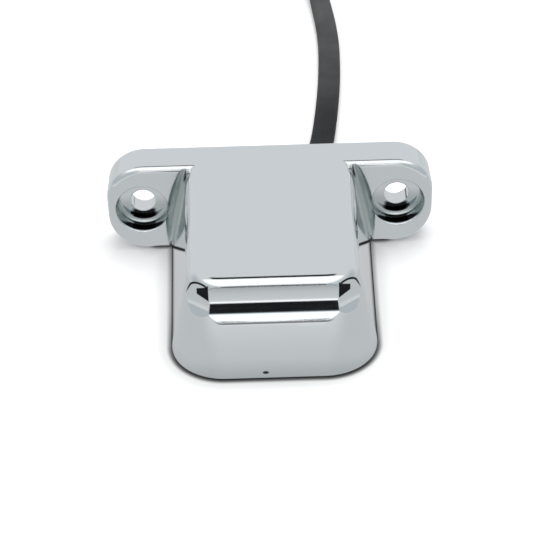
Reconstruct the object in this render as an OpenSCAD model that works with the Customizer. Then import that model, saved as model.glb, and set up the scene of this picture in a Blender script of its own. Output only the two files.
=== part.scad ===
// Number plate lamp: a die-cast housing with two screw ears, a lens in its underside and a flat lead
// Origin: the middle of the mounting face, on the line between the two screw holes
// +X runs along the ears, +Y into the vehicle behind the mounting face, +Z is up

/* [Housing] */
// Height of the housing and of its ears
body_h = 19.5; // [18:0.5:24]
// How far the nose stands out from the mounting face, at the base
body_depth = 48.7; // [46:0.1:60]
// Half the width of the nose's base between its rounded corners
corner_x = 9; // [8:0.1:10]
// Radius of the nose's front corners at the base
corner_r = 10.3; // [9.8:0.1:11]
// Lean of the nose's walls
wall_draft = 12; // [9:0.5:13]
// Radius along the top edges
top_r = 3.5; // [2.5:0.1:4]
// How far each side opens out towards the ears
side_splay = 1.7; // [0:0.1:3]

/* [Nose step] */
// Depth of the step's upright wall behind the front of the base
step_back = 4.1; // [3.6:0.1:4.6]
// Half the length of the straight part of the step
step_half = 11.4; // [10:0.1:12]
// Turn of the step's ends
step_turn = 38; // [25:1:45]
// Height over the base at which the step's upright wall starts to curve forward
step_foot_z = 16.3; // [15.5:0.1:16.5]
// Radius of the hollow at the foot of the wall
scoop_r = 8; // [6:0.1:8.5]

/* [Ears] */
// Distance between the two screw holes
hole_spacing = 50.8; // [49:0.1:58]
// Reach of each ear beyond its screw hole
ear_reach = 6.95; // [6.5:0.05:9]
// Thickness of the ears
ear_t = 7.1; // [6.5:0.1:9]
// Radius of the ears' corners, seen from the front
ear_corner_r = 7.75; // [6:0.05:9]
// Radius along the ears' front edge
ear_edge_r = 1.5; // [0.8:0.1:2]
// Half the length of the hollow along the corner between an ear and the nose
hollow_half = 8.4; // [7:0.1:8.8]
// Radius of that hollow at its middle
hollow_r = 1.9; // [1.4:0.1:2.2]
// Radius of each screw hole
hole_r = 2.5; // [2:0.1:2.9]
// Radius of the recess that takes a screw's head
recess_r = 5.2; // [4.8:0.1:5.6]
// Depth of that recess
recess_d = 3.4; // [2.5:0.1:4]
// Radius round the floor of that recess
recess_fillet = 0.9; // [0.4:0.1:1.2]
// Radius round the rim of that recess
recess_rim = 0.35; // [0.2:0.05:0.5]

/* [Lens] */
// Length of the lens, across the vehicle
lens_w = 29; // [27:0.5:31]
// Width of the lens, front to back
lens_d = 30; // [26:0.5:32]
// Radius of the lens's corners
lens_corner_r = 5; // [4:0.5:6]
// Thickness of the lens
lens_t = 1.8; // [1.5:0.1:2.2]
// Depth of the lens's face inside the housing's rim
lens_sunk = 0.4; // [0.3:0.1:0.8]
// Gap between the lens's front edge and the front of the base
lens_margin = 5.4; // [5:0.1:6]
// Width of the seal that the lens beds on
seal_w = 1.6; // [1.2:0.1:2]
// Thickness of the seal
seal_t = 0.8; // [0.6:0.1:1]
// Slack round the lens in its seat
lens_slack = 0.15; // [0.1:0.05:0.25]

/* [Light board] */
// Thickness of the circuit board
board_t = 1.6; // [1:0.2:1.6]
// Slack between the board and the cavity's walls
board_slack = 0.5; // [0.3:0.1:0.8]
// Height of the board's lower face over the seal
board_rise = 3.2; // [2.8:0.1:4]
// Distance between two neighbouring light-emitting diodes
led_pitch = 7; // [6:0.5:8]
// Room over the grommet's hole, up to the cavity's roof
roof_gap = 0.4; // [0.2:0.1:0.6]
// Radius of each board screw's shank
screw_r = 1; // [0.8:0.1:1.2]

/* [Lead] */
// Width of the flat lead
lead_w = 5.2; // [4.8:0.1:5.4]
// Thickness of the flat lead
lead_t = 2.6; // [2.4:0.1:2.8]
// Radius of each insulated core
core_r = 0.8; // [0.6:0.05:0.9]
// Radius of the hole that the grommet's neck fills
grommet_r = 3.6; // [3.3:0.1:4]
// Radius of the grommet's head
grommet_head_r = 5; // [4.8:0.1:5.2]
// Thickness of the grommet's head
grommet_head_t = 1.6; // [1.2:0.1:2]
// Outer radius of the coil that the spare lead lies in
coil_outer_r = 29.4; // [29.2:0.1:30.4]
// Inner radius of that coil
coil_inner_r = 24; // [23:0.1:24]
// Thickness of the tie round the coil
tie_t = 0.5; // [0.3:0.1:0.8]
// Width of the tie
tie_w = 5; // [3:0.5:8]

/* [Hidden] */
$fn = 96;
eps = 0.01;
far = 100;

// The housing's levels, from its base to its top
base_z = -body_h / 2;
top_z = body_h / 2;
ear_span = hole_spacing + 2 * ear_reach;

// The nose: its corner centres lie a corner radius in from the front
corner_y = -(body_depth - corner_r);
// Foot of the top rounding, measured out from a corner's centre
slope = tan(wall_draft);
top_reach = corner_r - body_h * slope;
flat_reach = top_reach - top_r * tan((90 - wall_draft) / 2);
round_z = top_z - top_r;

// The straight sides stand this much outside the corners
side_step = 0.01;

// The hollow between an ear and the nose: its axis lies this far off both faces and leans with the nose's side
hollow_out = 0.5;
hollow_z = 1;
hollow_y = -ear_t - hollow_out;
side_shift = side_step + (hollow_y - corner_y) * sin(side_splay);
side_x = corner_x + (corner_r + side_shift) / cos(side_splay) - (hollow_z - base_z) * slope;
hollow_x = side_x + hollow_out / cos(wall_draft);
hollow_lean = -atan(slope / cos(side_splay));
hollow_d = hollow_r - hollow_out * sqrt(2);
hollow_arc = (hollow_half * hollow_half + hollow_d * hollow_d) / (2 * hollow_d);

// The step: its wall's line, foot and the hollow's centre, in the plane across the nose
step_y = -(body_depth - step_back);
foot_z = base_z + step_foot_z;

// The lens's seat in the base, and the cavity over it
lens_y = -(body_depth - lens_margin - lens_d / 2);
lens_z = base_z + lens_sunk;
seal_z = lens_z + lens_t;
seat_z = seal_z + seal_t;
seat_w = lens_w + 2 * lens_slack;
seat_d = lens_d + 2 * lens_slack;
cavity_w = lens_w - 2 * seal_w;
cavity_d = lens_d - 2 * seal_w;
cavity_corner_r = lens_corner_r - seal_w;
board_z = seat_z + board_rise;
board_top = board_z + board_t;
cavity_back = lens_y + cavity_d / 2;

// The light board's parts
board_w = cavity_w - 2 * board_slack;
board_d = cavity_d - 2 * board_slack;
led_w = 3.5;
led_d = 2.8;
led_t = 1.9;
led_y = lens_y - 3;
chip_w = 3.2;
chip_d = 1.6;
chip_t = 0.6;
chip_y = lens_y + 4;
chip_pitch = 5.2;
diode_w = 4.3;
diode_d = 2.6;
diode_t = 2.1;
diode_y = lens_y + 8.4;
screw_x = cavity_w / 2 - 3.6;
screw_y = lens_y - cavity_d / 2 + 4.4;
screw_head_r = 1.9;
screw_head_t = 1.2;
boss_r = 2.4;
screw_gap = 0.15;

// The lead leaves the mounting face here, level with the cavity over the board
lead_x = 9;
lead_rise = 0.5;
lead_z = board_top + lead_rise + lead_t / 2;
cavity_top = lead_z + grommet_r + roof_gap;
grommet_slack = 0.1;
grommet_end_y = cavity_back - 0.6;
potting_d = 5;

// The two cores run from the lead's inner end down to their pads on the board
core_x = lead_w / 4;
core_out = 0.7;
core_drop = lead_t / 2 + lead_rise - core_r;
core_run = 4.8;
inner_y = cavity_back - 2.1;
pad_x = core_x + core_out;
pad_r = 1.2;
pad_h = 0.9;
pad_y = inner_y - core_run - pad_r;
CORE_ROUTE = [
    [0, 0, 0], [0.15, 0.2, 0.05], [0.4, 0.45, 0.3], [0.7, 0.7, 0.65], [0.9, 0.85, 0.92], [1, 1, 1]
];

// The free lead's route, from inside the housing to its coil on the table, and its turn on edge
table_z = base_z;
rest_z = table_z + lead_t / 2;
edge_z = table_z + tie_t + lead_w / 2;
coil_x = -14;
coil_y = 135;
ROUTE = [
    [9, inner_y, lead_z], [9, inner_y / 2, lead_z], [9, 0, lead_z], [9.1, 5, lead_z - 0.2],
    [9.5, 10, lead_z - 1],
    [10.1, 16, lead_z - 2.8], [11, 22, rest_z + 2.6], [12, 29, rest_z + 0.7], [13, 37, rest_z],
    [14, 46, rest_z], [14.9, 56, rest_z], [15.5, 66, rest_z], [15.8, 76, rest_z], [15.6, 86, rest_z],
    [15, 96, rest_z + 0.1], [14.4, 104, rest_z + 0.7], [14.1, 111, edge_z - 0.6], [14, 117, edge_z],
    [14, 123, edge_z]
];
TIE_TURNS = [80, 200, 310];
EDGE_TURN = [0, 0, 0, 0, 0, 0, 0, 0, 0, 0, 0, 0, 0, 0, 4, 25, 60, 85, 90];

// The lead's end lies inside the coil, split into its two cores with bare tips
FREE_BLACK = [[21.3, -9.3, 1.8], [21.4, -6, 1.5], [20.8, -2.5, 1], [19, 0.8, 0.8], [16.4, 3.4, 0.8]];
FREE_WHITE = [
    [21.3, -9.3, 4.4], [21.6, -5.5, 3.8], [21.4, -1.5, 2.6], [20.6, 2.5, 1.4], [19, 6, 0.8], [16.8, 9, 0.8]
];
TIP_BLACK = [[16.4, 3.4, 0.8], [14.2, 5, 0.65], [11.8, 6, 0.5]];
TIP_WHITE = [[16.8, 9, 0.8], [15, 11, 0.65], [13, 12.6, 0.5]];
bare_r = 0.45;

// Unit vector along v
function unit(v) = v / norm(v);

// Direction of a route at its point i
function heading(route, i) = unit(route[min(i + 1, len(route) - 1)] - route[max(i - 1, 0)]);

// A ring of a section's points round a route's point, turned about the route by a twist
function ring_at(route, i, section, twist) =
    let (
        along = heading(route, i),
        across = unit(cross(along, [0, 0, 1])),
        upward = cross(across, along)
    )
    [
        for (p = section)
            let (x = p.x * cos(twist) - p.y * sin(twist), y = p.x * sin(twist) + p.y * cos(twist))
            route[i] + across * x + upward * y
    ];

// A closed tube of a section that is swept along a route
module swept(route, section, twists = []) {
    sides = len(section);
    last = len(route) - 1;
    points = [
        for (i = [0 : last])
            each ring_at(route, i, section, len(twists) > 0 ? twists[i] : 0)
    ];
    walls = [
        for (i = [0 : last - 1], k = [0 : sides - 1])
            let (a = i * sides + k, b = i * sides + (k + 1) % sides)
            each [[a, a + sides, b + sides], [a, b + sides, b]]
    ];
    start_cap = [for (k = [0 : sides - 1]) k];
    end_cap = [for (k = [sides - 1 : -1 : 0]) last * sides + k];
    polyhedron(points, concat(walls, [start_cap, end_cap]));
}

// Outline of the flat lead: a half circle at each edge
lead_section = [
    for (side = [0, 1], i = [0 : 4])
        let (a = -90 + 45 * i + 180 * side)
        [(side > 0 ? -1 : 1) * (lead_w - lead_t) / 2 + lead_t / 2 * cos(a), lead_t / 2 * sin(a)]
];

// Outline of one insulated core, and of its bare strands
function round_section(r) = [for (i = [0 : 7]) [r * cos(45 * i), r * sin(45 * i)]];

// The part of a circle round c that lies between two directions less than 180 degrees apart
module pie(c, r, from, to) {
    intersection() {
        translate(c) circle(r = r);
        polygon([
            c, c + far * [cos(from), sin(from)], c + far * [cos((from + to) / 2), sin((from + to) / 2)],
            c + far * [cos(to), sin(to)]
        ]);
    }
}

// Half of the nose's upright section, from a corner's centre outwards, and on for some way below the base
module wall_section(below = 0) {
    tangent = [flat_reach + top_r * cos(wall_draft), round_z + top_r * sin(wall_draft)];
    polygon([
        [0, base_z - below], [corner_r + below * slope, base_z - below], tangent, [flat_reach, round_z],
        [flat_reach, top_z], [0, top_z]
    ]);
    pie([flat_reach, round_z], top_r, wall_draft, 90);
}

// One rounded front corner of the nose, and the straight side that runs back from it
module nose_side() {
    side_length = body_depth - corner_r - ear_t / 2;
    translate([corner_x, corner_y, 0]) {
        rotate([0, 0, -90])
            rotate_extrude(angle = 90, $fn = 128)
                wall_section();
        intersection() {
            rotate([0, 0, -side_splay])
                translate([side_step, 0, side_step])
                    rotate([90, 0, 0])
                        translate([0, 0, -side_length])
                            linear_extrude(side_length)
                                wall_section(1);
            translate([-far / 2, -far / 2, base_z])
                cube([far, far, body_h]);
        }
    }
}

// The nose's front, between its corners
module nose_front() {
    translate([corner_x, corner_y, 0])
        rotate([0, 0, -90])
            rotate([90, 0, 0])
                linear_extrude(2 * corner_x)
                    wall_section();
}

// The middle of the nose, up to its flat top
module nose_core() {
    core_lap = 0.5;
    translate([-corner_x, corner_y, base_z])
        cube([2 * corner_x, -corner_y - eps, body_h]);
    for (side = [0, 1])
        mirror([side, 0, 0])
            translate([0, 0, base_z])
                linear_extrude(body_h)
                    polygon([
                        [corner_x + core_lap, corner_y],
                        [corner_x + core_lap + tan(side_splay) * (-corner_y - 1), -1],
                        [corner_x - 1, -1], [corner_x - 1, corner_y]
                    ]);
}

module nose() {
    nose_front();
    nose_core();
    nose_side();
    mirror([1, 0, 0]) nose_side();
}

// Section of the step, cut away: x runs forward from its upright wall and y is the height
module step_section() {
    translate([0, foot_z])
        square([far / 5, far / 5]);
    pie([scoop_r, foot_z], scoop_r, 180, 270);
    translate([scoop_r, foot_z - scoop_r])
        square([far / 5 - scoop_r, scoop_r]);
}

// One straight run of the step, from x = 0 along +X
module step_run(length) {
    rotate([90, 0, -90])
        mirror([0, 0, 1])
            linear_extrude(length)
                step_section();
}

// The whole step: a straight middle with an end turned back at each side
module nose_step() {
    half_turn = step_turn / 2;
    for (side = [-1, 1])
        mirror([side < 0 ? 1 : 0, 0, 0]) {
            intersection() {
                translate([-eps, step_y, 0]) step_run(far / 3);
                mitre(half_turn);
            }
            intersection() {
                translate([step_half, step_y, 0])
                    rotate([0, 0, step_turn])
                        translate([-far / 3, 0, 0]) step_run(far / 1.5);
                mitre_beyond(half_turn);
            }
        }
}

// The space on the middle's side of the mitre between the step's straight run and its turned end
module mitre(half_turn) {
    translate([step_half, step_y, -far])
        rotate([0, 0, half_turn])
            translate([-far, -far, 0])
                cube([far, 2 * far, 2 * far]);
}

// The space on the turned end's side of that mitre
module mitre_beyond(half_turn) {
    translate([step_half, step_y, -far])
        rotate([0, 0, half_turn])
            translate([0, -far, 0])
                cube([far, 2 * far, 2 * far]);
}

// The mounting plate that carries both ears, with its front edge rounded
module ear_plate() {
    cx = ear_span / 2 - ear_corner_r;
    cz = body_h / 2 - ear_corner_r;
    for (sx = [0, 1], sz = [0, 1])
        mirror([sx, 0, 0])
            mirror([0, 0, sz])
                translate([cx, 0, cz])
                    rotate([90, 0, 0])
                        rotate_extrude(angle = 90)
                            plate_edge_section();
    for (sz = [0, 1])
        mirror([0, 0, sz])
            translate([-cx, 0, cz])
                rotate([180, -90, 0])
                    linear_extrude(2 * cx)
                        plate_edge_section();
    for (sx = [0, 1])
        mirror([sx, 0, 0])
            translate([cx, 0, cz])
                rotate([180, 0, 0])
                    linear_extrude(2 * cz)
                        plate_edge_section();
    translate([-cx, -ear_t, -cz])
        cube([2 * cx, ear_t, 2 * cz]);
}

// Section of the plate's rounded rim, from its corner's centre outwards: y runs from the mounting face
module plate_edge_section() {
    edge_x = ear_corner_r - ear_edge_r;
    edge_y = ear_t - ear_edge_r;
    polygon([
        [0, 0], [ear_corner_r, 0], [ear_corner_r, edge_y], [edge_x, edge_y], [edge_x, ear_t], [0, ear_t]
    ]);
    pie([edge_x, edge_y], ear_edge_r, 0, 90);
}

// The barrel-shaped hollow along the corner between an ear and the nose
module root_hollow() {
    reach = hollow_half + hollow_out;
    translate([hollow_x, hollow_y, hollow_z])
        rotate([0, hollow_lean, 0])
            rotate_extrude()
                intersection() {
                    translate([hollow_r - hollow_arc, 0])
                        circle(r = hollow_arc);
                    translate([0, -reach])
                        square([hollow_r, 2 * reach]);
                }
}

// One screw hole with the recess for the screw's head, cut from the ear's face
module screw_recess() {
    rotate([90, 0, 0]) {
        rotate_extrude()
            recess_section();
        translate([0, 0, -1])
            cylinder(r = hole_r, h = ear_t);
    }
}

// Section of the recess: its floor is rounded into its wall, and its rim is rounded over
module recess_section() {
    floor_y = ear_t - recess_d;
    floor_x = recess_r - recess_fillet;
    fillet_y = floor_y + recess_fillet;
    rim_y = ear_t - recess_rim;
    rim_x = recess_r + recess_rim;
    polygon([
        [0, floor_y], [floor_x, floor_y], [floor_x, fillet_y], [recess_r, fillet_y], [recess_r, far / 4],
        [0, far / 4]
    ]);
    pie([floor_x, fillet_y], recess_fillet, 270, 360);
    difference() {
        polygon([[recess_r, rim_y], [rim_x, rim_y], [rim_x, ear_t], [rim_x, far / 4], [recess_r, far / 4]]);
        translate([rim_x, rim_y]) circle(r = recess_rim);
    }
}

// A plate with rounded corners, lying flat, from its own centre upwards
module rounded_plate(w, d, r, t) {
    linear_extrude(t) {
        square([w - 2 * r, d], center = true);
        square([w, d - 2 * r], center = true);
        for (sx = [-1, 1], sy = [-1, 1])
            translate([sx * (w / 2 - r), sy * (d / 2 - r)])
                circle(r = r);
    }
}

module lens_seat() {
    translate([0, lens_y, base_z - 1])
        rounded_plate(seat_w, seat_d, lens_corner_r + lens_slack, seat_z - base_z + 1);
}

module light_cavity() {
    translate([0, lens_y, base_z])
        rounded_plate(cavity_w, cavity_d, cavity_corner_r, cavity_top - base_z);
}

// The two bosses that the board is screwed to
module bosses() {
    for (side = [-1, 1])
        translate([side * screw_x, screw_y, board_top])
            cylinder(r = boss_r, h = cavity_top - board_top + 1);
}

module boss_holes() {
    for (side = [-1, 1])
        translate([side * screw_x, screw_y, board_top - 1])
            cylinder(r = screw_r, h = 4.6);
}

// The stepped hole behind the cavity, for the grommet
module grommet_hole() {
    translate([lead_x, 0, lead_z])
        rotate([90, 0, 0]) {
            translate([0, 0, -1])
                cylinder(r = grommet_head_r + grommet_slack, h = grommet_head_t + grommet_slack + 1);
            cylinder(r = grommet_r, h = -cavity_back + 1);
        }
}

module housing() {
    color([0.8, 0.82, 0.83])
        difference() {
            union() {
                difference() {
                    nose();
                    nose_step();
                }
                ear_plate();
            }
            for (side = [0, 1])
                mirror([side, 0, 0]) root_hollow();
            for (side = [-1, 1])
                translate([side * hole_spacing / 2, 0, 0])
                    screw_recess();
            lens_seat();
            difference() {
                light_cavity();
                bosses();
            }
            boss_holes();
            grommet_hole();
        }
}

module lens() {
    color([0.9, 0.94, 0.95, 0.4])
        translate([0, lens_y, lens_z])
            rounded_plate(lens_w, lens_d, lens_corner_r, lens_t);
}

module lens_seal() {
    color([0.1, 0.1, 0.1])
        translate([0, lens_y, seal_z])
            difference() {
                rounded_plate(lens_w, lens_d, lens_corner_r, seal_t);
                translate([0, 0, -1])
                    rounded_plate(cavity_w, cavity_d, cavity_corner_r, seal_t + 2);
            }
}

module circuit_board() {
    color([0.9, 0.91, 0.88])
        difference() {
            translate([0, lens_y, board_z])
                rounded_plate(board_w, board_d, cavity_corner_r - board_slack, board_t);
            for (side = [-1, 1])
                translate([side * screw_x, screw_y, board_z - 1])
                    cylinder(r = screw_r + screw_gap, h = board_t + 2);
        }
}

// A surface-mounted light-emitting diode: a white package with its lit face down
module led(index) {
    translate([(index - 2) * led_pitch, led_y, board_z - led_t]) {
        color([0.93, 0.92, 0.88])
            difference() {
                translate([-led_w / 2, -led_d / 2, 0])
                    cube([led_w, led_d, led_t]);
                translate([0, 0, -eps])
                    cylinder(r1 = led_d * 0.42, r2 = led_d * 0.34, h = 0.5);
            }
    }
}

module led_1() { led(1); }
module led_2() { led(2); }
module led_3() { led(3); }

// A flat chip with a metal cap at each end, under the board
module chip(w, d, t) {
    translate([-w / 2, -d / 2, board_z - t])
        cube([w, d, t]);
}

module resistor_1() {
    color([0.1, 0.1, 0.1])
        translate([-chip_pitch / 2, chip_y, 0]) chip(chip_w, chip_d, chip_t);
}

module resistor_2() {
    color([0.1, 0.1, 0.1])
        translate([chip_pitch / 2, chip_y, 0]) chip(chip_w, chip_d, chip_t);
}

module diode() {
    color([0.12, 0.12, 0.12])
        translate([0, diode_y, 0]) chip(diode_w, diode_d, diode_t);
}

// A pan-headed screw, driven up through the board into its boss
module board_screw(side) {
    color([0.75, 0.76, 0.78])
        translate([side * screw_x, screw_y, board_z - screw_head_t]) {
            difference() {
                rotate_extrude($fn = 48)
                    polygon([
                        [0, 0], [screw_head_r - 0.5, 0], [screw_head_r - 0.15, 0.25],
                        [screw_head_r, 0.6], [screw_head_r, screw_head_t], [0, screw_head_t]
                    ]);
                for (turn = [0, 90])
                    rotate([0, 0, turn])
                        translate([-1.1, -0.2, -1])
                            cube([2.2, 0.4, 1.6]);
            }
            cylinder(r = screw_r - 0.05, h = screw_head_t + board_t + 3.2, $fn = 48);
        }
}

module board_screw_1() { board_screw(-1); }
module board_screw_2() { board_screw(1); }

// One insulated core inside the housing, from the lead's end to its pad on the board
module inner_core(side) {
    route = [
        for (p = CORE_ROUTE)
            [lead_x + side * (core_x + core_out * p.y), inner_y - core_run * p.x, lead_z - core_drop * p.z]
    ];
    swept(route, round_section(core_r));
}

module core_black() { color([0.08, 0.08, 0.08]) inner_core(-1); }
module core_white() { color([0.88, 0.88, 0.86]) inner_core(1); }

// A dome of solder over a core's end
module solder_joint(side) {
    color([0.75, 0.76, 0.78])
        translate([lead_x + side * pad_x, pad_y, board_top])
            rotate_extrude($fn = 48)
                polygon([
                    [0, 0], [pad_r, 0], [pad_r * 0.8, pad_h * 0.35], [pad_r * 0.55, pad_h * 0.75],
                    [pad_r * 0.3, pad_h], [0, pad_h]
                ]);
}

module solder_joint_1() { solder_joint(-1); }
module solder_joint_2() { solder_joint(1); }

// The slot that a flat lead passes through, along Y
module lead_slot(y0, y1) {
    for (side = [-1, 1])
        translate([lead_x + side * (lead_w - lead_t) / 2, y1, lead_z])
            rotate([90, 0, 0])
                cylinder(r = lead_t / 2, h = y1 - y0, $fn = 48);
    translate([lead_x - (lead_w - lead_t) / 2, y0, lead_z - lead_t / 2])
        cube([lead_w - lead_t, y1 - y0, lead_t]);
}

// Resin poured round the lead's end, at the back of the cavity
module potting() {
    color([0.12, 0.12, 0.13])
        difference() {
            intersection() {
                translate([0, lens_y, board_top])
                    rounded_plate(cavity_w, cavity_d, cavity_corner_r, cavity_top - board_top);
                translate([-cavity_w / 2, cavity_back - potting_d, board_top])
                    cube([cavity_w, potting_d, cavity_top - board_top]);
            }
            lead_slot(inner_y, cavity_back + 1);
            translate([lead_x, cavity_back + 1, lead_z])
                rotate([90, 0, 0])
                    cylinder(r = grommet_r, h = cavity_back - grommet_end_y + 1);
            translate([lead_x - lead_w / 2, cavity_back - potting_d - 1, lead_z - lead_t / 2])
                cube([lead_w, inner_y - (cavity_back - potting_d) + 1, lead_t]);
        }
}

// Rubber grommet in the stepped hole, its head flush with the mounting face
module cable_grommet() {
    color([0.09, 0.09, 0.09])
        difference() {
            translate([lead_x, -0.1, lead_z])
                rotate([90, 0, 0])
                    rotate_extrude()
                        polygon([
                            [0, 0], [grommet_head_r - 0.3, 0], [grommet_head_r, 0.3],
                            [grommet_head_r, grommet_head_t], [grommet_r - grommet_slack, grommet_head_t],
                            [grommet_r - grommet_slack, -grommet_end_y - 0.1], [0, -grommet_end_y - 0.1]
                        ]);
            lead_slot(grommet_end_y - 1, 1);
        }
}

module lead() { color([0.07, 0.07, 0.07]) swept(ROUTE, lead_section, EDGE_TURN); }

// The spare lead, wound on edge into a neat coil
module lead_coil() {
    color([0.07, 0.07, 0.07])
        translate([coil_x, coil_y, table_z + tie_t])
            rotate_extrude()
                translate([coil_inner_r, 0])
                    square([coil_outer_r - coil_inner_r, lead_w]);
}

// One free core inside the coil, and its stripped and tinned strands
module free_core(route) {
    swept([for (p = route) [coil_x + p.x, coil_y + p.y, table_z + p.z]], round_section(core_r));
}

module free_tip(route) {
    swept([for (p = route) [coil_x + p.x, coil_y + p.y, table_z + p.z]], round_section(bare_r));
}

module core_end_black() { color([0.08, 0.08, 0.08]) free_core(FREE_BLACK); }
module core_end_white() { color([0.88, 0.88, 0.86]) free_core(FREE_WHITE); }
module bare_tip_black() { color([0.78, 0.78, 0.76]) free_tip(TIP_BLACK); }
module bare_tip_white() { color([0.78, 0.78, 0.76]) free_tip(TIP_WHITE); }

// A band round the coil, at a turn from +X
module coil_tie(turn) {
    band_in = coil_inner_r - tie_t;
    band_out = coil_outer_r + tie_t;
    color([0.1, 0.1, 0.1])
        translate([coil_x, coil_y, table_z])
            rotate([0, 0, turn])
                difference() {
                    translate([band_in, -tie_w / 2, 0])
                        cube([band_out - band_in, tie_w, lead_w + 2 * tie_t]);
                    translate([0, 0, tie_t])
                        rotate_extrude()
                            translate([coil_inner_r, 0])
                                square([coil_outer_r - coil_inner_r, lead_w]);
                }
}

module coil_tie_1() { coil_tie(TIE_TURNS[0]); }
module coil_tie_2() { coil_tie(TIE_TURNS[1]); }
module coil_tie_3() { coil_tie(TIE_TURNS[2]); }

housing();
lens();
lens_seal();
circuit_board();
led_1();
led_2();
led_3();
resistor_1();
resistor_2();
diode();
board_screw_1();
board_screw_2();
core_black();
core_white();
solder_joint_1();
solder_joint_2();
potting();
cable_grommet();
lead();
lead_coil();
core_end_black();
core_end_white();
bare_tip_black();
bare_tip_white();
coil_tie_1();
coil_tie_2();
coil_tie_3();
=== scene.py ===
# Number plate lamp: chromed housing, clear lens in its underside, sealed light board and a flat black lead
import math

import bmesh
import bpy
import numpy as np
from mathutils import Matrix, Vector


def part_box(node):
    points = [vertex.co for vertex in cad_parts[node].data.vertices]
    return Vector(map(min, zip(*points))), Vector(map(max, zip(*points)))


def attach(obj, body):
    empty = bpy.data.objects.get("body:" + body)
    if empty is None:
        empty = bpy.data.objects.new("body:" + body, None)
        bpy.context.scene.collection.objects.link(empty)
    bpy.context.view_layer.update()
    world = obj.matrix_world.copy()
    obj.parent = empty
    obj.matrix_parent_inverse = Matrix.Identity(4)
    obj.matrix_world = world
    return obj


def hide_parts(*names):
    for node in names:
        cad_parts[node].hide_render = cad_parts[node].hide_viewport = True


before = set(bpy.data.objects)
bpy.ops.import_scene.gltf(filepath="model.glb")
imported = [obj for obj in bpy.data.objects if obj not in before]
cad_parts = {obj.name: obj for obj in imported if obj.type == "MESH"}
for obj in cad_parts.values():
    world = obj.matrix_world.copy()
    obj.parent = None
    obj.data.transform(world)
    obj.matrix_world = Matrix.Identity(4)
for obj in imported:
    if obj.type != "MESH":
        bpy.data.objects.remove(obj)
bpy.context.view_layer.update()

# Camera: stands in front of the lamp and looks down on it, with a slight roll
# Its place and angles come from a camera that was fitted to points measured in the photograph
MM = 0.001
elevation, roll, yaw = math.radians(36.37), math.radians(-1.57), math.radians(-0.22)
view_angle, distance = math.radians(20.03), 0.3
target = Vector((-0.43, -18, -7.81)) * MM
back = Vector((
    math.sin(yaw) * math.cos(elevation), -math.cos(yaw) * math.cos(elevation), math.sin(elevation),
))
right = (-back).cross(Vector((0, 0, 1))).normalized()
level_up = right.cross(-back)
picture_right = right * math.cos(roll) + level_up * math.sin(roll)
picture_up = level_up * math.cos(roll) - right * math.sin(roll)
camera = bpy.data.cameras.new("camera")
camera.lens_unit = "FOV"
camera.angle = view_angle
camera.clip_start = 0.01
camera_object = bpy.data.objects.new("camera", camera)
turned_to = Matrix((picture_right, picture_up, back)).transposed().to_4x4()
camera_object.matrix_world = Matrix.Translation(target + back * distance) @ turned_to
bpy.context.scene.collection.objects.link(camera_object)
bpy.context.scene.camera = camera_object

# Lead: a flat twin lead with black plastic sheath, about 44 cm long from the mounting face to its split end
# It lies on the table and its spare length is wound on edge into a coil, out of the photograph's view
# The route's points are the CAD route's, in millimetres, with the turn of the flat side in degrees
lead_w, lead_t, tie_t, table_z = 5.2, 2.6, 0.5, -9.75
lead_x, lead_z = 9, -0.15
rest, edge = table_z + lead_t / 2, table_z + tie_t + lead_w / 2
route = [
    (lead_x, 0, lead_z, 0), (9.1, 5, -0.35, 0), (9.5, 10, -1.15, 0), (10.1, 16, -2.95, 0), (11, 22, rest + 2.6, 0),
    (12, 29, rest + 0.7, 0), (13, 37, rest, 0), (14, 46, rest, 0), (14.9, 56, rest, 0), (15.5, 66, rest, 0),
    (15.8, 76, rest, 0), (15.6, 86, rest, 0), (15, 96, rest + 0.1, 4), (14.4, 104, rest + 0.7, 25),
    (14.1, 111, edge - 0.6, 60), (14, 117, edge, 85), (14, 123, edge, 90), (14.05, 129, edge, 90),
]
coil_centre, turns, outer, pitch, steps_round = Vector((-14, 135)), 1.93, 28.05, 2.7, 36
for i in range(int(turns * steps_round) + 1):
    angle = math.radians(10 * i)
    radius = outer - pitch * i / steps_round
    route.append((coil_centre.x + radius * math.cos(angle), coil_centre.y + radius * math.sin(angle), edge, 90))
knots = np.array(route)
fine = []
for i in range(len(knots) - 1):
    a, b, c, d = (knots[max(0, min(len(knots) - 1, i + k))] for k in (-1, 0, 1, 2))
    for t in np.linspace(0, 1, 8, endpoint=False):
        bend = (2 * a - 5 * b + 4 * c - d) * t ** 2 + (3 * b - a - 3 * c + d) * t ** 3
        fine.append(0.5 * (2 * b + (c - a) * t + bend))
fine.append(knots[-1])
fine = np.array(fine)
fine[:, 2] = np.maximum(fine[:, 2], rest + lead_t / 2 * np.abs(np.sin(np.radians(fine[:, 3]))))


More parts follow.
